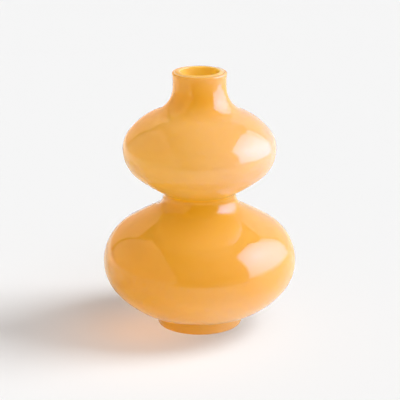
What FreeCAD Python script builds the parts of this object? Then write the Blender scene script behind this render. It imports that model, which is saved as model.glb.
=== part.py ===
import FreeCAD, Part
import math
import os

import Sketcher
from FreeCAD import Vector

# Gourd-shaped flower vase in cased glass: a bubble of opal coloured glass,
# dipped in clear glass and blown in one mould.  Both layers are turned about
# the same upright axis.  The origin is the centre of the foot's resting face,
# +Z points up through the mouth, and all lengths are in millimetres.

doc = FreeCAD.newDocument("gourd_vase")

# ---------------------------------------------------------------- dimensions
sheet = doc.addObject("Spreadsheet::Sheet", "Dims")
rows = [
    ("height", "180", "foot face to top of lip"),
    ("mouthRadius", "13.2", "inside of the mouth and neck"),
    ("rimEdgeInside", "1", "softened inner edge of the rim"),
    ("rimEdge", "1.2", "softened outer edge of the rim"),
    ("rimLevel", "178.4", "height of the outer edge's centre, under a top that falls outward"),
    ("lipRadius", "18.7", "outside of the lip"),
    ("lipSweep", "30", "hollow that turns the neck out to the lip"),
    ("neckRadius", "18.3", "outside of the neck"),
    ("neckFoot", "169.4", "height where the straight neck begins"),
    ("flareRound", "19.7", "hollow between neck and upper bulb"),
    ("topJoint", "136.7", "height where the upper shoulder's two arcs meet"),
    ("topShoulder", "18.2", "upper bulb, arc above its widest line"),
    ("topRadius", "52.8", "upper bulb at its widest line"),
    ("topLevel", "126", "height of the upper bulb's widest line"),
    ("topUnder", "23.2", "upper bulb, arc below its widest line"),
    ("topUnderJoint", "107.7", "height where its two lower arcs meet"),
    ("waistOver", "4", "waist hollow, upper side"),
    ("waistRadius", "25.2", "outside of the waist"),
    ("waistLevel", "93.2", "height of the waist"),
    ("waistUnder", "10.6", "waist hollow, lower side"),
    ("bellyJoint", "72.3", "height where the lower shoulder's two arcs meet"),
    ("bellyShoulder", "31.5", "lower bulb, arc above its widest line"),
    ("bellyRadius", "66.9", "lower bulb at its widest line"),
    ("bellyLevel", "45.4", "height of the lower bulb's widest line"),
    ("bellyUnder", "28.4", "lower bulb, arc below its widest line"),
    ("bellyUnderJoint", "28.4", "height where its two lower arcs meet"),
    ("footHollow", "2.1", "hollow between lower bulb and foot"),
    ("footRadius", "29.3", "outside of the foot"),
    ("footLevel", "6.4", "height of the foot's upright side"),
    ("footEdge", "1", "rounded edge of the foot"),
    ("footEdgeInside", "0.6", "the same edge on the opal layer"),
    ("ringInner", "21.5", "inside of the ring that the vase rests on"),
    ("punt", "2.6", "rise of the hollow under the foot"),
    ("casing", "1.4", "thickness of the clear layer"),
    ("wall", "3.5", "thickness of both layers together, in the bulbs"),
    ("floorLevel", "10.6", "height of the inside floor"),
]
for number, (alias, value, note) in enumerate(rows, 1):
    sheet.set("A%d" % number, alias)
    sheet.set("B%d" % number, value)
    sheet.set("C%d" % number, note)
    sheet.setAlias("B%d" % number, alias)
doc.recompute()
d = {alias: float(value) for alias, value, note in rows}


# ------------------------------------------------------------- sketch helper
class Section:
    """Half cross-section of one layer: x is the radius, y is the height."""

    def __init__(self, body, name):
        self.sketch = body.newObject("Sketcher::SketchObject", name)
        plane = [f for f in body.Origin.OriginFeatures if f.Role == "XZ_Plane"][0]
        self.sketch.AttachmentSupport = [(plane, "")]
        self.sketch.MapMode = "FlatFace"
        self.count = 0

    def arc(self, centre, radius, low, high):
        circle = Part.Circle(Vector(centre[0], centre[1], 0), Vector(0, 0, 1), radius)
        return self.sketch.addGeometry(
            Part.ArcOfCircle(circle, math.radians(low), math.radians(high)), False)

    def line(self, a, b):
        return self.sketch.addGeometry(
            Part.LineSegment(Vector(a[0], a[1], 0), Vector(b[0], b[1], 0)), False)

    def guide(self, centre, radius):
        """A construction circle."""
        circle = Part.Circle(Vector(centre[0], centre[1], 0), Vector(0, 0, 1), radius)
        return self.sketch.addGeometry(circle, True)

    def tie(self, kind, *args):
        self.sketch.addConstraint(Sketcher.Constraint(kind, *args))

    def size(self, kind, args, value, formula):
        """A dimension bound to the sheet."""
        self.count += 1
        label = "size%d" % self.count
        number = self.sketch.addConstraint(Sketcher.Constraint(kind, *args, value))
        self.sketch.renameConstraint(number, label)
        self.sketch.setExpression("Constraints." + label, formula)

    def across(self, geo, pos, value, formula):
        self.size("DistanceX", (-1, 1, geo, pos), value, formula)

    def up(self, geo, pos, value, formula):
        self.size("DistanceY", (-1, 1, geo, pos), value, formula)

    def radius(self, geo, value, formula):
        self.size("Radius", (geo,), value, formula)


START, END, CENTRE = 1, 2, 3


def quarter(level, outer, first, joint, hollow, neck_r, neck_z):
    """A bulb's quarter: one arc from its widest line to the joint, a second
    arc that runs on from it, and the hollow that the second arc meets."""
    angle = math.asin((joint - level) / first)
    n = (math.cos(angle), math.sin(angle))
    j = (outer - first + first * n[0], joint)
    c = (neck_r + hollow, neck_z)
    dx, dy = j[0] - c[0], j[1] - c[1]
    second = (dx * dx + dy * dy - hollow * hollow) / (2 * (n[0] * dx + n[1] * dy + hollow))
    m = (j[0] - second * n[0], j[1] - second * n[1])
    turn = math.atan2(c[1] - m[1], c[0] - m[0])
    return math.degrees(angle), math.degrees(turn), second, m


def bulbs(sec, off, sheet_off, with_foot, neck_off=None, sheet_neck=None):
    """The run of tangent arcs from the foot (or the inside floor) to the neck,
    laid `off` inside the outer surface, and `neck_off` inside it at the neck,
    where the glass may be thicker.  Returns the first and last pieces."""
    if neck_off is None:
        neck_off, sheet_neck = off, sheet_off
    neck_plus = " + " + sheet_neck if sheet_neck else ""
    neck_minus = " - " + sheet_neck if sheet_neck else ""
    plus = " + " + sheet_off if sheet_off else ""
    minus = " - " + sheet_off if sheet_off else ""

    def joint(level, radius, height):
        """A joint's height on the offset surface, and its formula."""
        value = d[level] + (d[height] - d[level]) * (d[radius] - off) / d[radius]
        if not sheet_off:
            return value, "Dims." + height
        return value, ("Dims.%s + (Dims.%s - Dims.%s) * (Dims.%s - %s) / Dims.%s"
                       % (level, height, level, radius, sheet_off, radius))

    # lower bulb, under its widest line
    z_low, f_low = joint("bellyLevel", "bellyUnder", "bellyUnderJoint")
    a, b, r2, m = quarter(d["bellyLevel"], d["bellyRadius"] - off, d["bellyUnder"] - off, z_low,
                          d["footHollow"] + off, d["footRadius"] - off, d["footLevel"])
    if with_foot:
        hollow = sec.arc((d["footRadius"] + d["footHollow"], d["footLevel"]),
                         d["footHollow"] + off, b + 180, 180)
        under2 = sec.arc(m, r2, b, a)
        sec.radius(hollow, d["footHollow"] + off, "Dims.footHollow" + plus)
        sec.tie("Tangent", hollow, START, under2, START)
        first = hollow
    else:
        floor = d["floorLevel"]
        n = (math.cos(math.radians(a)), math.sin(math.radians(a)))
        r2 = (z_low - floor) / (1 + n[1])
        jx = d["bellyRadius"] - d["bellyUnder"] + (d["bellyUnder"] - off) * n[0]
        m = (jx - r2 * n[0], z_low - r2 * n[1])
        under2 = sec.arc(m, r2, -90, a)
        first = under2
    under1 = sec.arc((d["bellyRadius"] - d["bellyUnder"], d["bellyLevel"]), d["bellyUnder"] - off, a, 0)
    sec.tie("Tangent", under2, END, under1, START)
    sec.radius(under1, d["bellyUnder"] - off, "Dims.bellyUnder" + minus)
    sec.across(under1, END, d["bellyRadius"] - off, "Dims.bellyRadius" + minus)
    sec.up(under1, END, d["bellyLevel"], "Dims.bellyLevel")
    sec.up(under1, CENTRE, d["bellyLevel"], "Dims.bellyLevel")
    sec.up(under1, START, z_low, f_low)

    # lower bulb's shoulder, up to the waist
    z_mid, f_mid = joint("bellyLevel", "bellyShoulder", "bellyJoint")
    a, b, r2, m = quarter(d["bellyLevel"], d["bellyRadius"] - off, d["bellyShoulder"] - off, z_mid,
                          d["waistUnder"] + off, d["waistRadius"] - off, d["waistLevel"])
    over1 = sec.arc((d["bellyRadius"] - d["bellyShoulder"], d["bellyLevel"]),
                    d["bellyShoulder"] - off, 0, a)
    over2 = sec.arc(m, r2, a, b)
    waist1 = sec.arc((d["waistRadius"] + d["waistUnder"], d["waistLevel"]),
                     d["waistUnder"] + off, 180, b + 180)
    sec.tie("Tangent", under1, END, over1, START)
    sec.radius(over1, d["bellyShoulder"] - off, "Dims.bellyShoulder" + minus)
    sec.up(over1, END, z_mid, f_mid)
    sec.tie("Tangent", over1, END, over2, START)
    sec.tie("Tangent", over2, END, waist1, END)
    sec.radius(waist1, d["waistUnder"] + off, "Dims.waistUnder" + plus)
    sec.across(waist1, START, d["waistRadius"] - off, "Dims.waistRadius" + minus)
    sec.up(waist1, START, d["waistLevel"], "Dims.waistLevel")
    sec.up(waist1, CENTRE, d["waistLevel"], "Dims.waistLevel")

    # waist and the underside of the upper bulb
    z_under, f_under = joint("topLevel", "topUnder", "topUnderJoint")
    a, b, r2, m = quarter(d["topLevel"], d["topRadius"] - off, d["topUnder"] - off, z_under,
                          d["waistOver"] + off, d["waistRadius"] - off, d["waistLevel"])
    waist2 = sec.arc((d["waistRadius"] + d["waistOver"], d["waistLevel"]),
                     d["waistOver"] + off, b + 180, 180)
    low2 = sec.arc(m, r2, b, a)
    low1 = sec.arc((d["topRadius"] - d["topUnder"], d["topLevel"]), d["topUnder"] - off, a, 0)
    sec.tie("Tangent", waist1, START, waist2, END)
    sec.radius(waist2, d["waistOver"] + off, "Dims.waistOver" + plus)
    sec.tie("Tangent", waist2, START, low2, START)
    sec.tie("Tangent", low2, END, low1, START)
    sec.radius(low1, d["topUnder"] - off, "Dims.topUnder" + minus)
    sec.across(low1, END, d["topRadius"] - off, "Dims.topRadius" + minus)
    sec.up(low1, END, d["topLevel"], "Dims.topLevel")
    sec.up(low1, CENTRE, d["topLevel"], "Dims.topLevel")
    sec.up(low1, START, z_under, f_under)

    # upper bulb's shoulder and the hollow flare to the neck
    z_top, f_top = joint("topLevel", "topShoulder", "topJoint")
    a, b, r2, m = quarter(d["topLevel"], d["topRadius"] - off, d["topShoulder"] - off, z_top,
                          d["flareRound"] + neck_off, d["neckRadius"] - neck_off, d["neckFoot"])
    high1 = sec.arc((d["topRadius"] - d["topShoulder"], d["topLevel"]), d["topShoulder"] - off, 0, a)
    high2 = sec.arc(m, r2, a, b)
    flare = sec.arc((d["neckRadius"] + d["flareRound"], d["neckFoot"]),
                    d["flareRound"] + neck_off, 180, b + 180)
    sec.tie("Tangent", low1, END, high1, START)
    sec.radius(high1, d["topShoulder"] - off, "Dims.topShoulder" + minus)
    sec.up(high1, END, z_top, f_top)
    sec.tie("Tangent", high1, END, high2, START)
    sec.tie("Tangent", high2, END, flare, END)
    sec.radius(flare, d["flareRound"] + neck_off, "Dims.flareRound" + neck_plus)
    sec.across(flare, START, d["neckRadius"] - neck_off, "Dims.neckRadius" + neck_minus)
    sec.up(flare, START, d["neckFoot"], "Dims.neckFoot")
    sec.up(flare, CENTRE, d["neckFoot"], "Dims.neckFoot")
    return first, flare


def underside(sec, off, sheet_off, edge, edge_alias, first):
    """Hollow under the foot, the ring it rests on, and the foot's side."""
    plus = " + " + sheet_off if sheet_off else ""
    minus = " - " + sheet_off if sheet_off else ""
    sphere = (d["ringInner"] ** 2 + d["punt"] ** 2) / (2 * d["punt"])
    low = d["punt"] - sphere
    reach = sphere + off
    x_in = math.sqrt(reach * reach - (off - low) ** 2)
    angle = math.degrees(math.asin((off - low) / reach))
    dome = sec.arc((0, low), reach, angle, 90)
    x_side = d["footRadius"] - off
    ring = sec.line((x_in, off), (x_side - edge, off))
    corner = sec.arc((x_side - edge, off + edge), edge, 270, 360)
    side = sec.line((x_side, off + edge), (x_side, d["footLevel"]))
    sec.tie("PointOnObject", dome, CENTRE, -2)
    sec.tie("PointOnObject", dome, END, -2)
    sec.up(dome, END, d["punt"] + off, "Dims.punt" + plus)
    if sheet_off:
        sec.radius(dome, reach, "(Dims.ringInner * Dims.ringInner + Dims.punt * Dims.punt)"
                                " / (2 * Dims.punt)" + plus)
        sec.up(dome, START, off, sheet_off)
    else:
        sec.across(dome, START, x_in, "Dims.ringInner")
        sec.tie("PointOnObject", dome, START, -1)
    sec.tie("Coincident", dome, START, ring, START)
    sec.tie("Horizontal", ring)
    sec.tie("Tangent", ring, END, corner, START)
    sec.radius(corner, edge, "Dims." + edge_alias)
    sec.tie("Tangent", corner, END, side, START)
    sec.tie("Vertical", side)
    sec.across(side, END, x_side, "Dims.footRadius" + minus)
    sec.up(side, END, d["footLevel"], "Dims.footLevel")
    sec.tie("Tangent", side, END, first, END)
    return dome


def turned(label):
    body = doc.addObject("PartDesign::Body", label)
    body.Label = label
    return body


def revolve(body, sec, name):
    feature = body.newObject("PartDesign::Revolution", name)
    feature.Profile = sec.sketch
    feature.ReferenceAxis = (sec.sketch, ["V_Axis"])
    feature.Angle = 360.0
    body.Tip = feature
    sec.sketch.Visibility = False
    return feature


# ----------------------------------------------------------------- the rim
# A nearly flat top that falls outward, between two softened edges.  It is the
# line that touches both rounded edges from above, and the joint between the
# two layers comes out in it.
rim_out = (d["lipRadius"] - d["rimEdge"], d["rimLevel"])
rim_in = (d["mouthRadius"] + d["rimEdgeInside"], d["height"] - d["rimEdgeInside"])
span = math.hypot(rim_out[0] - rim_in[0], rim_out[1] - rim_in[1])
facing = (math.atan2(rim_out[1] - rim_in[1], rim_out[0] - rim_in[0])
          + math.acos((d["rimEdgeInside"] - d["rimEdge"]) / span))
facing = math.degrees(facing)
fx, fz = math.cos(math.radians(facing)), math.sin(math.radians(facing))
top_out = (rim_out[0] + d["rimEdge"] * fx, rim_out[1] + d["rimEdge"] * fz)
top_in = (rim_in[0] + d["rimEdgeInside"] * fx, rim_in[1] + d["rimEdgeInside"] * fz)
split_x = d["neckRadius"] - d["casing"]
split = (split_x, top_out[1] + (top_in[1] - top_out[1]) * (top_out[0] - split_x) / (top_out[0] - top_in[0]))


def outer_edge_centre(sec, geo):
    sec.radius(geo, d["rimEdge"], "Dims.rimEdge")
    sec.across(geo, CENTRE, rim_out[0], "Dims.lipRadius - Dims.rimEdge")
    sec.up(geo, CENTRE, rim_out[1], "Dims.rimLevel")


# -------------------------------------------------------------- clear casing
# The clear outer layer, of one thickness all over.  It makes the outside, and
# the outer edge of the rim.
casing_body = turned("clear_casing")
sec = Section(casing_body, "CasingSection")
first, flare = bulbs(sec, 0.0, "", True)
dome = underside(sec, 0.0, "", d["footEdge"], "footEdge", first)

gap = d["neckRadius"] + d["lipSweep"] - rim_out[0]
drop = math.sqrt((d["lipSweep"] + d["rimEdge"]) ** 2 - gap * gap)
tilt = math.degrees(math.atan2(drop, gap))
neck = sec.line((d["neckRadius"], d["neckFoot"]), (d["neckRadius"], rim_out[1] - drop))
sweep = sec.arc((d["neckRadius"] + d["lipSweep"], rim_out[1] - drop), d["lipSweep"], 180 - tilt, 180)
edge = sec.arc(rim_out, d["rimEdge"], -tilt, facing)
top = sec.line(top_out, split)
guide = sec.guide(rim_in, d["rimEdgeInside"])
sec.tie("Tangent", flare, START, neck, START)
sec.tie("Tangent", neck, END, sweep, END)
sec.radius(sweep, d["lipSweep"], "Dims.lipSweep")
sec.tie("Tangent", sweep, START, edge, START)
outer_edge_centre(sec, edge)
sec.tie("Tangent", edge, END, top, START)
sec.radius(guide, d["rimEdgeInside"], "Dims.rimEdgeInside")
sec.across(guide, CENTRE, rim_in[0], "Dims.mouthRadius + Dims.rimEdgeInside")
sec.up(guide, CENTRE, rim_in[1], "Dims.height - Dims.rimEdgeInside")
sec.tie("Tangent", top, guide)

inner_first, inner_flare = bulbs(sec, d["casing"], "Dims.casing", True)
inner_dome = underside(sec, d["casing"], "Dims.casing", d["footEdgeInside"], "footEdgeInside",
                       inner_first)
inner_neck = sec.line((split_x, d["neckFoot"]), split)
sec.tie("Tangent", inner_flare, START, inner_neck, START)
sec.tie("Coincident", inner_neck, END, top, END)
axis_line = sec.line((0, d["punt"]), (0, d["punt"] + d["casing"]))
sec.tie("Coincident", axis_line, START, dome, END)
sec.tie("Coincident", axis_line, END, inner_dome, END)
casing_section = sec
casing_turn = revolve(casing_body, sec, "CasingTurned")

# ---------------------------------------------------------------- opal layer
# The coloured inner layer: it lies against the casing all over, reaches down
# into the foot and up into the rim, and its own inside surface is the inside
# of the vase.
opal_body = turned("opal_layer")
sec = Section(opal_body, "OpalSection")
first, flare = bulbs(sec, d["casing"], "Dims.casing", True)
dome = underside(sec, d["casing"], "Dims.casing", d["footEdgeInside"], "footEdgeInside", first)
neck = sec.line((split_x, d["neckFoot"]), split)
rim = sec.line(split, top_in)
edge_in = sec.arc(rim_in, d["rimEdgeInside"], facing, 180)
guide = sec.guide(rim_out, d["rimEdge"])
sec.tie("Tangent", flare, START, neck, START)
sec.tie("Coincident", neck, END, rim, START)
sec.tie("Tangent", rim, END, edge_in, START)
sec.radius(edge_in, d["rimEdgeInside"], "Dims.rimEdgeInside")
sec.up(edge_in, CENTRE, rim_in[1], "Dims.height - Dims.rimEdgeInside")
outer_edge_centre(sec, guide)
sec.tie("Tangent", rim, guide)

floor_arc, inside_flare = bulbs(sec, d["wall"], "Dims.wall", False,
                                d["neckRadius"] - d["mouthRadius"],
                                "(Dims.neckRadius - Dims.mouthRadius)")
inside_neck = sec.line((d["mouthRadius"], d["neckFoot"]), (d["mouthRadius"], rim_in[1]))
sec.tie("Tangent", inside_flare, START, inside_neck, START)
sec.tie("Tangent", edge_in, END, inside_neck, END)
floor_geo = sec.sketch.Geometry[floor_arc]
floor_x = floor_geo.Center.x
floor = sec.line((0, d["floorLevel"]), (floor_x, d["floorLevel"]))
sec.tie("Tangent", floor, END, floor_arc, START)
sec.tie("PointOnObject", floor, START, -2)
sec.tie("Horizontal", floor)
sec.up(floor, START, d["floorLevel"], "Dims.floorLevel")
axis_line = sec.line((0, d["punt"] + d["casing"]), (0, d["floorLevel"]))
sec.tie("Coincident", axis_line, START, dome, END)
sec.tie("Coincident", axis_line, END, floor, START)
opal_section = sec
opal_turn = revolve(opal_body, sec, "OpalTurned")

for body in (casing_body, opal_body):
    body.Placement = FreeCAD.Placement(Vector(0, 0, 0), FreeCAD.Rotation(0, 0, 0, 1))

doc.recompute()

# ------------------------------------------------------------------- checks
for obj in doc.Objects:
    bad = [state for state in obj.State if state in ("Invalid", "Error")]
    if bad:
        raise RuntimeError("%s is %s" % (obj.Name, bad))
for sec in (casing_section, opal_section):
    if sec.sketch.solve() != 0:
        raise RuntimeError(sec.sketch.Name + " does not solve")
    if not sec.sketch.FullyConstrained:
        raise RuntimeError(sec.sketch.Name + " is not fully constrained")
bodies = [casing_body, opal_body]
for body in bodies:
    shape = body.Shape
    if shape.isNull() or not shape.isValid() or len(shape.Solids) != 1:
        raise RuntimeError(body.Label + " is not one valid solid")
    if shape.Volume < 1000.0:
        raise RuntimeError(body.Label + " is too small to be a layer of glass")
    box = shape.optimalBoundingBox()
    print("%s: %.1f cm3, x %.2f..%.2f, z %.3f..%.3f, %d faces" % (
        body.Label, shape.Volume / 1000.0, box.XMin, box.XMax, box.ZMin, box.ZMax,
        len(shape.Faces)))
shared = casing_body.Shape.common(opal_body.Shape).Volume
print("shared volume %.4f mm3, distance %.4f mm" % (
    shared, casing_body.Shape.distToShape(opal_body.Shape)[0]))
if shared > 1.0:
    raise RuntimeError("the two layers run into each other")

os.makedirs("parts", exist_ok=True)
for body in bodies:
    body.Shape.exportStep("parts/%s.step" % body.Label)
    print("wrote parts/%s.step" % body.Label)
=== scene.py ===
import math

import bpy
from mathutils import Euler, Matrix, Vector


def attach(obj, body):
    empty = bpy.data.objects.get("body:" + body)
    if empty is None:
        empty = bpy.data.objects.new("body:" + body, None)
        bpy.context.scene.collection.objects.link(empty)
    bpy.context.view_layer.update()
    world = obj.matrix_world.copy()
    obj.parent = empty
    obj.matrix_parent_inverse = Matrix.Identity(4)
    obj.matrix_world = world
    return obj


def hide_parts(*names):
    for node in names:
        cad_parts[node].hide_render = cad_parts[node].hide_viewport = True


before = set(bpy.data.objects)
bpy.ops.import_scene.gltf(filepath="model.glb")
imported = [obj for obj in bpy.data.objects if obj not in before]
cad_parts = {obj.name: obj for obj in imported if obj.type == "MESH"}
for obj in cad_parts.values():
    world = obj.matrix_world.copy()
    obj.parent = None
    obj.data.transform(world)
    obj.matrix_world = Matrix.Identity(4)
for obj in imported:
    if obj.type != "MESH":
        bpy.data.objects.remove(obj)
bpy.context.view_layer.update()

scene = bpy.context.scene
scene.view_settings.view_transform = "Standard"
scene.view_settings.look = "None"

# ------------------------------------------------------------- dimensions, mm
HEIGHT = 180.0
MOUTH = 13.2
RIM_IN = 1.0
RIM_OUT = 1.2
RIM_LEVEL = 178.4
LIP = 18.7
SWEEP = 30.0
NECK = 18.3
NECK_FOOT = 169.4
FLARE = 19.7
TOP = dict(joint=136.7, shoulder=18.2, radius=52.8, level=126.0, under=23.2, under_joint=107.7)
WAIST = dict(over=4.0, radius=25.2, level=93.2, under=10.6)
BELLY = dict(joint=72.3, shoulder=31.5, radius=66.9, level=45.4, under=28.4, under_joint=28.4)
FOOT = dict(hollow=2.1, radius=29.3, level=6.4, edge=1.0, inner_edge=0.6, ring=21.5, punt=2.6)
CASING = 1.4
WALL = 3.5
FLOOR = 10.6
SEGMENTS = 200


# ------------------------------------------------------------ profile curves
def arc_points(cx, cy, radius, start, end, step=1.0):
    """Points along an arc, angles in degrees, at most `step` mm apart."""
    turn = math.radians(end - start)
    count = max(4, int(abs(turn) * abs(radius) / step) + 1, int(abs(end - start) / 5.0) + 1)
    return [(cx + radius * math.cos(math.radians(start) + turn * i / count),
             cy + radius * math.sin(math.radians(start) + turn * i / count)) for i in range(count + 1)]


def line_points(a, b, step=1.5):
    count = max(1, int(math.dist(a, b) / step))
    return [(a[0] + (b[0] - a[0]) * i / count, a[1] + (b[1] - a[1]) * i / count) for i in range(count + 1)]


def quarter(level, outer, first, joint, hollow, neck_r, neck_z):
    """A bulb's quarter: an arc from its widest line to the joint, and a second
    arc that runs on from it into the hollow beside the neck, waist or foot."""
    angle = math.asin((joint - level) / first)
    n = (math.cos(angle), math.sin(angle))
    j = (outer - first + first * n[0], joint)
    c = (neck_r + hollow, neck_z)
    dx, dy = j[0] - c[0], j[1] - c[1]
    second = (dx * dx + dy * dy - hollow * hollow) / (2 * (n[0] * dx + n[1] * dy + hollow))
    m = (j[0] - second * n[0], j[1] - second * n[1])
    return math.degrees(angle), math.degrees(math.atan2(c[1] - m[1], c[0] - m[0])), second, m


def joined(*runs):
    out = []
    for run in runs:
        for p in run:
            if not out or math.dist(p, out[-1]) > 1e-4:
                out.append(p)
    return out


def bulbs(off, neck_off, foot):
    """The run of arcs from the foot's side, or the inside floor, up to the
    neck, laid `off` mm inside the outer surface."""
    def level_of(bulb, arc, key):
        return bulb["level"] + (bulb[key] - bulb["level"]) * (bulb[arc] - off) / bulb[arc]

    low_j = level_of(BELLY, "under", "under_joint")
    a, b, r2, m = quarter(BELLY["level"], BELLY["radius"] - off, BELLY["under"] - off, low_j,
                          FOOT["hollow"] + off, FOOT["radius"] - off, FOOT["level"])
    runs = []
    if foot:
        runs.append(arc_points(FOOT["radius"] + FOOT["hollow"], FOOT["level"], FOOT["hollow"] + off, 180, b + 180, 0.3))
        runs.append(arc_points(m[0], m[1], r2, b, a))
    else:
        n = (math.cos(math.radians(a)), math.sin(math.radians(a)))
        r2 = (low_j - FLOOR) / (1 + n[1])
        jx = BELLY["radius"] - BELLY["under"] + (BELLY["under"] - off) * n[0]
        runs.append(arc_points(jx - r2 * n[0], low_j - r2 * n[1], r2, -90, a))
    runs.append(arc_points(BELLY["radius"] - BELLY["under"], BELLY["level"], BELLY["under"] - off, a, 0))
    a, b, r2, m = quarter(BELLY["level"], BELLY["radius"] - off, BELLY["shoulder"] - off, level_of(BELLY, "shoulder", "joint"),
                          WAIST["under"] + off, WAIST["radius"] - off, WAIST["level"])
    runs.append(arc_points(BELLY["radius"] - BELLY["shoulder"], BELLY["level"], BELLY["shoulder"] - off, 0, a))
    runs.append(arc_points(m[0], m[1], r2, a, b))
    runs.append(arc_points(WAIST["radius"] + WAIST["under"], WAIST["level"], WAIST["under"] + off, b + 180, 180, 0.5))
    a, b, r2, m = quarter(TOP["level"], TOP["radius"] - off, TOP["under"] - off, level_of(TOP, "under", "under_joint"),
                          WAIST["over"] + off, WAIST["radius"] - off, WAIST["level"])
    runs.append(arc_points(WAIST["radius"] + WAIST["over"], WAIST["level"], WAIST["over"] + off, 180, b + 180, 0.3))
    runs.append(arc_points(m[0], m[1], r2, b, a))
    runs.append(arc_points(TOP["radius"] - TOP["under"], TOP["level"], TOP["under"] - off, a, 0))
    a, b, r2, m = quarter(TOP["level"], TOP["radius"] - off, TOP["shoulder"] - off, level_of(TOP, "shoulder", "joint"),
                          FLARE + neck_off, NECK - neck_off, NECK_FOOT)
    runs.append(arc_points(TOP["radius"] - TOP["shoulder"], TOP["level"], TOP["shoulder"] - off, 0, a))
    runs.append(arc_points(m[0], m[1], r2, a, b))
    runs.append(arc_points(NECK + FLARE, NECK_FOOT, FLARE + neck_off, b + 180, 180))
    return joined(*runs)


def underside(off, edge):
    """From the axis out over the hollow under the foot, its ring and side."""
    sphere = (FOOT["ring"] ** 2 + FOOT["punt"] ** 2) / (2 * FOOT["punt"])
    low = FOOT["punt"] - sphere
    reach = sphere + off
    end = math.degrees(math.asin((off - low) / reach))
    x_side = FOOT["radius"] - off
    dome = arc_points(0, low, reach, 90, end)
    ring = line_points(dome[-1], (x_side - edge, off))
    corner = arc_points(x_side - edge, off + edge, edge, 270, 360, 0.15)
    side = line_points((x_side, off + edge), (x_side, FOOT["level"]))
    return joined(dome, ring, corner, side)


def rim():
    """From the neck's outside over the softened, nearly flat top to the bore."""
    out = (LIP - RIM_OUT, RIM_LEVEL)
    inn = (MOUTH + RIM_IN, HEIGHT - RIM_IN)
    gap = NECK + SWEEP - out[0]
    drop = math.sqrt((SWEEP + RIM_OUT) ** 2 - gap * gap)
    tilt = math.degrees(math.atan2(drop, gap))
    facing = math.degrees(math.atan2(out[1] - inn[1], out[0] - inn[0])
                          + math.acos((RIM_IN - RIM_OUT) / math.dist(out, inn)))
    return joined(
        line_points((NECK, NECK_FOOT), (NECK, out[1] - drop)),
        arc_points(NECK + SWEEP, out[1] - drop, SWEEP, 180, 180 - tilt, 0.5),
        arc_points(out[0], out[1], RIM_OUT, -tilt, facing, 0.12),
        arc_points(inn[0], inn[1], RIM_IN, facing, 180, 0.12))


hollow = bulbs(WALL, NECK - MOUTH, False)
inside = joined(line_points((0, FLOOR), hollow[0]), hollow)
split = (NECK - CASING, 179.681)      # where the joint between the layers comes out in the rim's top
opal_outside = joined(underside(CASING, FOOT["inner_edge"]), bulbs(CASING, CASING, True),
                      line_points((NECK - CASING, NECK_FOOT), split))
rim_run = rim()
rim_outer = joined([p for p in rim_run if p[0] > split[0]], [split])
rim_inner = joined([split], [p for p in rim_run if p[0] < split[0]], line_points((MOUTH, HEIGHT - RIM_IN), (MOUTH, NECK_FOOT), 1.0))
casing_loop = joined(underside(0.0, FOOT["edge"]), bulbs(0.0, 0.0, True), rim_outer, list(reversed(opal_outside)))
opal_loop = joined(opal_outside, rim_inner, list(reversed(inside)))


# ------------------------------------------------------------------- lathing
def out_of_round(angle, z):
    """How far hand-blown glass is from a true circle: at most 0.1 % of the
    radius, and never outside it."""
    t = z / HEIGHT
    w = (math.sin(2 * angle + 0.9 + 1.3 * t) + 0.6 * math.sin(3 * angle + 2.1 - 2.4 * t)
         + 0.4 * math.sin(5 * angle + 4.0 + 5.0 * t))
    return 1.0 - 0.0006 - 0.0002 * w


def lathe(name, profile):
    """Turns a profile in mm, open or from axis to axis, into a closed mesh in metres."""
    verts, rings = [], []
    for r, z in profile:
        if r < 1e-6:
            rings.append([len(verts)])
            verts.append((0.0, 0.0, z / 1000.0))
            continue
        ring = []
        for i in range(SEGMENTS):
            angle = 2 * math.pi * i / SEGMENTS
            k = r * out_of_round(angle, z) / 1000.0
            ring.append(len(verts))
            verts.append((k * math.cos(angle), k * math.sin(angle), z / 1000.0))
        rings.append(ring)
    faces = []
    pairs = list(zip(rings, rings[1:]))
    if len(rings[0]) > 1:
        pairs.append((rings[-1], rings[0]))
    for low, high in pairs:
        for i in range(SEGMENTS):
            j = (i + 1) % SEGMENTS
            if len(low) == 1:
                faces.append((low[0], high[j], high[i]))
            elif len(high) == 1:
                faces.append((low[i], low[j], high[0]))
            else:
                faces.append((low[i], low[j], high[j], high[i]))
    mesh = bpy.data.meshes.new(name)
    mesh.from_pydata(verts, [], faces)
    mesh.validate()
    mesh.polygons.foreach_set("use_smooth", [True] * len(mesh.polygons))
    mesh.update()
    piece = bpy.data.objects.new(name, mesh)
    scene.collection.objects.link(piece)
    return piece


# ----------------------------------------------------------------- materials
def node(tree, kind, **values):
    made = tree.nodes.new(kind)
    for key, value in values.items():
        setattr(made, key, value)
    return made


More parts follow.
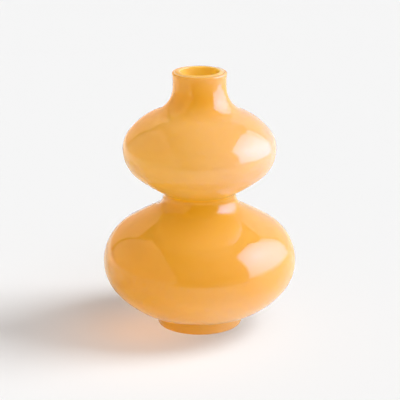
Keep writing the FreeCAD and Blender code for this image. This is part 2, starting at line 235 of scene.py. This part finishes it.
def opal_glass(name, deep, pale):
    """Amber opal glass under a clear, fire-polished face.  The colour runs by height:
    deeper at neck, waist, floor and foot, partly for the thicker glass there and partly
    as painted shade in the waist's crease under the upper bulb; and milky clouds run
    through it, drawn out round the vase by the blowing."""
    mat = bpy.data.materials.new(name)
    mat.use_nodes = True
    nt = mat.node_tree
    nt.nodes.clear()
    out = node(nt, "ShaderNodeOutputMaterial")
    shade = node(nt, "ShaderNodeBsdfPrincipled")
    coords = node(nt, "ShaderNodeTexCoord")
    stretch = node(nt, "ShaderNodeMapping")
    stretch.inputs["Scale"].default_value = (1.0, 1.0, 2.2)
    clouds = node(nt, "ShaderNodeTexNoise", noise_dimensions="3D")
    clouds.inputs["Scale"].default_value = 14.0
    clouds.inputs["Detail"].default_value = 4.0
    clouds.inputs["Roughness"].default_value = 0.5
    clouds.inputs["Distortion"].default_value = 0.8
    nt.links.new(coords.outputs["Object"], stretch.inputs["Vector"])
    nt.links.new(stretch.outputs["Vector"], clouds.inputs["Vector"])
    split_z = node(nt, "ShaderNodeSeparateXYZ")
    nt.links.new(coords.outputs["Object"], split_z.inputs["Vector"])
    along = node(nt, "ShaderNodeMath", operation="DIVIDE")
    along.inputs[1].default_value = HEIGHT / 1000.0
    nt.links.new(split_z.outputs["Z"], along.inputs[0])
    # tone by height: thickness and milkiness, with painted shade in the waist's crease
    milk_and_shade_ramp = node(nt, "ShaderNodeValToRGB")
    milk_and_shade_ramp.color_ramp.interpolation = "EASE"
    ramp = milk_and_shade_ramp.color_ramp
    ramp.elements[0].color = (MILK_AND_SHADE_BY_HEIGHT[0][1],) * 3 + (1,)
    ramp.elements[-1].color = (MILK_AND_SHADE_BY_HEIGHT[-1][1],) * 3 + (1,)
    for level, milk in MILK_AND_SHADE_BY_HEIGHT[1:-1]:
        ramp.elements.new(level / HEIGHT).color = (milk, milk, milk, 1)
    nt.links.new(along.outputs["Value"], milk_and_shade_ramp.inputs["Fac"])
    spread = node(nt, "ShaderNodeMapRange")
    spread.inputs["From Min"].default_value = 0.3
    spread.inputs["From Max"].default_value = 0.7
    spread.inputs["To Min"].default_value = -CLOUD
    spread.inputs["To Max"].default_value = CLOUD
    nt.links.new(clouds.outputs["Fac"], spread.inputs["Value"])
    total = node(nt, "ShaderNodeMath", operation="ADD", use_clamp=True)
    nt.links.new(milk_and_shade_ramp.outputs["Color"], total.inputs[0])
    nt.links.new(spread.outputs["Result"], total.inputs[1])
    tint = node(nt, "ShaderNodeValToRGB")
    tint.color_ramp.elements[0].color = (*deep, 1)
    tint.color_ramp.elements[1].color = (*pale, 1)
    nt.links.new(total.outputs["Value"], tint.inputs["Fac"])
    nt.links.new(tint.outputs["Color"], shade.inputs["Base Color"])
    shade.inputs["Roughness"].default_value = 0.35
    shade.inputs["Specular IOR Level"].default_value = 0.0
    shade.inputs["Subsurface Weight"].default_value = SSS
    shade.inputs["Subsurface Radius"].default_value = (1.0, 0.8, 0.5)
    shade.inputs["Subsurface Scale"].default_value = SSS_SCALE
    shade.inputs["Coat Weight"].default_value = 1.0
    shade.inputs["Coat Roughness"].default_value = 0.015
    shade.inputs["Coat IOR"].default_value = 1.5
    nt.links.new(shade.outputs["BSDF"], out.inputs["Surface"])
    return mat


def glow(name, colour, strength):
    mat = bpy.data.materials.new(name)
    mat.use_nodes = True
    nt = mat.node_tree
    nt.nodes.clear()
    out = node(nt, "ShaderNodeOutputMaterial")
    em = node(nt, "ShaderNodeEmission")
    em.inputs["Color"].default_value = (*colour, 1)
    em.inputs["Strength"].default_value = strength
    nt.links.new(em.outputs["Emission"], out.inputs["Surface"])
    return mat


DEEP = (0.76, 0.300, 0.004)
PALE = (0.88, 0.440, 0.080)
# a brighter copy of the same glass for the inside of the mouth: painted light, for the light that comes through the
# opal walls into the hollow
INSIDE_DEEP_LIT = (0.90, 0.42, 0.015)
INSIDE_PALE_LIT = (0.92, 0.50, 0.08)
# tone by height in mm, 0 deep to 1 pale: partly thicker glass and milkiness, partly painted shade at the waist's crease
# (93 mm) and the lower bulb's shoulder under it (72 mm)
MILK_AND_SHADE_BY_HEIGHT = [(0, 0.3), (7, 0.3), (28, 0.42), (50, 0.25), (72, 0.2), (93, 0.08), (110, 0.55), (128, 0.75), (148, 0.55),
        (165, 0.15), (180, 0.35)]
CLOUD = 0.12
SSS = 0.5
SSS_SCALE = 0.006

# -------------------------------------------------------------------- pieces
casing = lathe("casing_glass", casing_loop)
casing.data.materials.append(opal_glass("glass_through_casing", DEEP, PALE))
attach(casing, "root")
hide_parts("clear_casing")

opal = lathe("opal_bubble", opal_loop)
opal.data.materials.append(opal_glass("opal_glass_inside_brightened", INSIDE_DEEP_LIT, INSIDE_PALE_LIT))
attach(opal, "root")
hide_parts("opal_layer")

# light passes through opal glass, so it neither darkens nor tints the paper all
# round it as a painted pot would
for piece in (casing, opal):
    piece.visible_diffuse = False

# --------------------------------------------------------------------- stage
FLOOR_ALBEDO = 0.80
# azimuth from +Y towards +X, elevation, width and, square to it, strength
FILLS = [("front_fill", 180, 20, 96, (0.38, 0.395, 0.39)), ("left_fill", -90, 35, 96, (0.37, 0.35, 0.42)),
         ("right_fill", 88, 25, 96, (0.50, 0.62, 2.3)), ("right_low_fill", 82, -5, 96, (0.34, 0.44, 5.0)),
         ("back_fill", 0, 45, 96, (0.25, 0.24, 0.24)), ("front_low_fill", 180, -8, 80, (0.08, 0.065, 0.0))]
KEY = (88, 42, 42, (0.43, 0.47, 0.60))
# the paper's own lamps: two that the vase shades, one from the front right that
# it shades only towards the back left, and a part that reaches all of the paper
PAPER_LAMPS = [("key_on_paper", 82, 43, 33, 0.69), ("top_on_paper", 92, 57, 50, 0.18), ("front_on_paper", 150, 45, 30, 0.07)]
PAPER_FILL = 0.479
GLOW = (-0.034, -0.020, 0.060, (1.0, 0.36, 0.0), 0.082)
ROOM = (0.02, 0.015, 0.01)
SOFTBOX = (4.5, 6.7, 12.0)
LEFT_WALL = (1.0, 0.60, 0.52)
BACK_LEFT = (1.3, 0.70, 0.50)
BACK_RIGHT = (0.7, 0.72, 0.88)
RIGHT_WALL = (2.0, 1.95, 3.0)
BACKDROP = 0.922


def card(name, corners, mat):
    mesh = bpy.data.meshes.new(name)
    mesh.from_pydata([tuple(c) for c in corners], [], [tuple(range(len(corners)))])
    mesh.update()
    obj = bpy.data.objects.new(name, mesh)
    scene.collection.objects.link(obj)
    obj.data.materials.append(mat)
    return obj


def only_mirrored(name, corners, colour):
    obj = card(name, corners, glow(name + "_light", colour, 1.0))
    obj.visible_camera = False
    obj.visible_diffuse = False
    obj.visible_transmission = False
    obj.visible_volume_scatter = False
    obj.visible_shadow = False
    return obj


floor_mat = bpy.data.materials.new("floor_paper")
floor_mat.use_nodes = True
paper = floor_mat.node_tree.nodes["Principled BSDF"]
paper.inputs["Base Color"].default_value = (FLOOR_ALBEDO, FLOOR_ALBEDO, FLOOR_ALBEDO, 1)
paper.inputs["Roughness"].default_value = 1.0
paper.inputs["Specular IOR Level"].default_value = 0.0
floor = card("floor", [(-8, -8, -0.00005), (8, -8, -0.00005), (8, 8, -0.00005), (-8, 8, -0.00005)], floor_mat)

softbox = only_mirrored("softbox", [(0.40, -0.25, 0.078), (0.40, 0.325, 0.070), (0.40, 0.26, 0.29), (0.40, 0.19, 0.64),
                                    (0.40, -0.23, 0.59)], SOFTBOX)
# brightest in the middle, as the cloth of a real softbox is
cloth = softbox.data.materials[0].node_tree
where = node(cloth, "ShaderNodeTexCoord")
centred = node(cloth, "ShaderNodeMapping")
centred.inputs["Scale"].default_value = (0.0, 1.9, 1.9)
centred.inputs["Location"].default_value = (0.0, 0.11, -0.60)
fade = node(cloth, "ShaderNodeTexGradient", gradient_type="SPHERICAL")
cloth.links.new(where.outputs["Object"], centred.inputs["Vector"])
cloth.links.new(centred.outputs["Vector"], fade.inputs["Vector"])
cloth.links.new(fade.outputs["Fac"], cloth.nodes["Emission"].inputs["Strength"])
# the table ends 0.36 m in front of the vase, and its far left is overlit
only_mirrored("past_the_table", [(-0.30, -0.36, 0.0002), (-3, -8, 0.0002), (3, -8, 0.0002), (1.2, -0.36, 0.0002)],
              (0.02, 0.01, 0.005))
only_mirrored("overlit_table", [(-0.30, 0.12, 0.0002), (-0.30, 1.9, 0.0002), (-1.0, 1.9, 0.0002), (-1.0, 0.12, 0.0002)],
              (1.65, 1.28, 1.12))
only_mirrored("left_wall", [(-1.0, -2.1, 0), (-1.0, 0.87, 0), (-1.0, 0.87, 1.80), (-1.0, 0.0, 1.73),
                            (-1.0, -0.37, 1.6), (-1.0, -1.07, 1.2), (-1.0, -2.1, 0.5)], LEFT_WALL)
only_mirrored("back_wall_left", [(-1.9, 1.95, 0), (0, 1.95, 0), (0, 1.95, 2.2), (-1.9, 1.95, 2.2)], BACK_LEFT)
only_mirrored("back_wall_right", [(0, 1.95, 0), (1.9, 1.95, 0), (1.9, 1.95, 2.2), (0, 1.95, 2.2)], BACK_RIGHT)
only_mirrored("right_wall", [(2.0, 1.95, 0), (2.0, -1.2, 0), (2.0, -1.2, 2.4), (2.0, 1.95, 2.4)], RIGHT_WALL)

world = bpy.data.worlds.new("studio")
scene.world = world
world.use_nodes = True
wt = world.node_tree
wt.nodes.clear()
w_out = node(wt, "ShaderNodeOutputWorld")
path = node(wt, "ShaderNodeLightPath")


def backing(colour):
    made = node(wt, "ShaderNodeBackground")
    made.inputs["Color"].default_value = (*colour, 1)
    return made


# mirrored, the room is dark but for its cards; diffuse surfaces are lit by the
# lamps alone; the camera sees the backdrop
mix1 = node(wt, "ShaderNodeMixShader")
mix2 = node(wt, "ShaderNodeMixShader")
wt.links.new(path.outputs["Is Glossy Ray"], mix1.inputs["Fac"])
wt.links.new(backing((0.0, 0.0, 0.0)).outputs["Background"], mix1.inputs[1])
wt.links.new(backing(ROOM).outputs["Background"], mix1.inputs[2])
wt.links.new(path.outputs["Is Camera Ray"], mix2.inputs["Fac"])
wt.links.new(mix1.outputs["Shader"], mix2.inputs[1])
wt.links.new(backing((BACKDROP, BACKDROP, BACKDROP)).outputs["Background"], mix2.inputs[2])
wt.links.new(mix2.outputs["Shader"], w_out.inputs["Surface"])


glass_only = bpy.data.collections.new("glass_only")
for piece in (casing, opal):
    glass_only.objects.link(piece)
paper_only = bpy.data.collections.new("paper_only")
paper_only.objects.link(floor)


def sun(name, azimuth, elevation, width, strength, lights=None, shaded_by=None):
    """A soft lamp far off; `strength` is the light that it adds to a white
    surface square to it.  It isn't mirrored in the glass: the cards are."""
    data = bpy.data.lights.new(name, "SUN")
    data.energy = max(strength) * math.pi
    data.color = [part / max(strength) for part in strength]
    data.angle = math.radians(width)
    data.cycles.use_multiple_importance_sampling = lights is not paper_only
    obj = bpy.data.objects.new(name, data)
    scene.collection.objects.link(obj)
    a, e = math.radians(azimuth), math.radians(elevation)
    toward = Vector((math.sin(a) * math.cos(e), math.cos(a) * math.cos(e), math.sin(e)))
    obj.rotation_mode = "QUATERNION"
    obj.rotation_quaternion = toward.to_track_quat("Z", "Y")
    obj.visible_glossy = False
    if lights:
        obj.light_linking.receiver_collection = lights
    if shaded_by:
        obj.light_linking.blocker_collection = shaded_by
    return obj


for name, azimuth, elevation, width, strength in FILLS:
    sun(name, azimuth, elevation, width, strength, lights=glass_only, shaded_by=glass_only if elevation < 0 else None)
sun("key", *KEY, lights=glass_only)

# The paper is lit apart, because the coat-faced pieces let no light through: the
# opal glass of a real vase fills its own shadow and sends a warm glow round
# the foot.  An unshaded lamp stands for the one, a small warm one for the other.
for name, azimuth, elevation, width, strength in PAPER_LAMPS:
    sun(name, azimuth, elevation, width, (strength,) * 3, lights=paper_only)
sun("fill_on_paper", 0, 90, 5, (PAPER_FILL,) * 3, lights=paper_only, shaded_by=paper_only)
through = bpy.data.lights.new("light_through_glass", "POINT")
through.energy = GLOW[4]
through.color = GLOW[3]
through.shadow_soft_size = 0.02
glass_light = bpy.data.objects.new("light_through_glass", through)
scene.collection.objects.link(glass_light)
glass_light.location = GLOW[:3]
glass_light.visible_glossy = False
glass_light.light_linking.receiver_collection = paper_only
glass_light.light_linking.blocker_collection = paper_only

# -------------------------------------------------------------------- camera
camera = bpy.data.cameras.new("camera")
camera.sensor_width = 36.0
camera.sensor_fit = "HORIZONTAL"
camera.lens = 1730.16 / 400.0 * 36.0
camera.clip_start, camera.clip_end = 0.05, 50.0
eye = bpy.data.objects.new("camera", camera)
scene.collection.objects.link(eye)
eye.location = (0.00031, -1.14028, 0.44810)
eye.rotation_mode = "XYZ"
eye.rotation_euler = Euler((math.radians(90.0 - 17.4981), 0.0, 0.0), "XYZ")
scene.camera = eye
